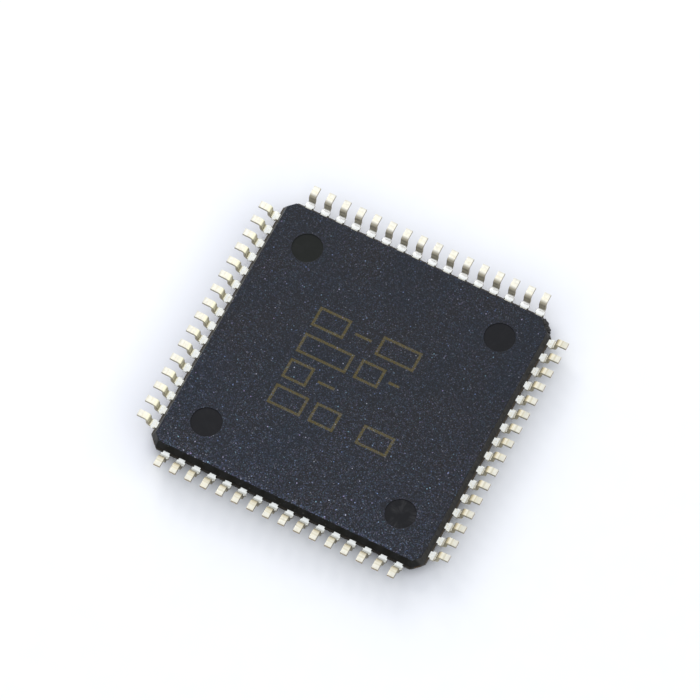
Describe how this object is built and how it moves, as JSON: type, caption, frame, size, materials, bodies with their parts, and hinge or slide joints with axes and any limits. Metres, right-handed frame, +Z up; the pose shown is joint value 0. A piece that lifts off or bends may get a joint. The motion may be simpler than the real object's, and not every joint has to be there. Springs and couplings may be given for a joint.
{
  "type": "microcontroller chip",
  "caption": "Square, thin surface-mount chip lying on its top face: a black moulded body with drafted walls, cut corners and pin marks, and tin-plated gull-wing leads on all sides.",
  "frame": {"origin": "middle of the package's top face, which the part lies on", "axes": "+Z up, out of the underside, towards the solder plane; +Y towards the row of the first lead, +X along that row as its numbers rise"},
  "size_m": [0.016, 0.016, 0.0011],
  "materials": {
    "moulding_compound": "fine sparkling matte epoxy",
    "tin_plate": "matte tin",
    "copper_alloy": "sheared copper",
    "adhesive": "silver-filled",
    "silicon": "polished",
    "gold_wire": "bright"
  },
  "bodies": {
    "root": {"mould_body": "moulding_compound", "die_paddle": "copper_alloy", "die_attach": "adhesive", "silicon_die": "silicon", "leads_01_04": "tin_plate", "leads_05_08": "tin_plate", "leads_09_12": "tin_plate", "leads_13_16": "tin_plate", "leads_17_20": "tin_plate", "leads_21_24": "tin_plate", "leads_25_28": "tin_plate", "leads_29_32": "tin_plate", "leads_33_36": "tin_plate", "leads_37_40": "tin_plate", "leads_41_44": "tin_plate", "leads_45_48": "tin_plate", "leads_49_52": "tin_plate", "leads_53_56": "tin_plate", "leads_57_60": "tin_plate", "leads_61_64": "tin_plate", "bond_wires_01_04": "gold_wire", "bond_wires_05_08": "gold_wire", "bond_wires_09_12": "gold_wire", "bond_wires_13_16": "gold_wire", "bond_wires_17_20": "gold_wire", "bond_wires_21_24": "gold_wire", "bond_wires_25_28": "gold_wire", "bond_wires_29_32": "gold_wire", "bond_wires_33_36": "gold_wire", "bond_wires_37_40": "gold_wire", "bond_wires_41_44": "gold_wire", "bond_wires_45_48": "gold_wire", "bond_wires_49_52": "gold_wire", "bond_wires_53_56": "gold_wire", "bond_wires_57_60": "gold_wire", "bond_wires_61_64": "gold_wire"}
  },
  "joints": []
}
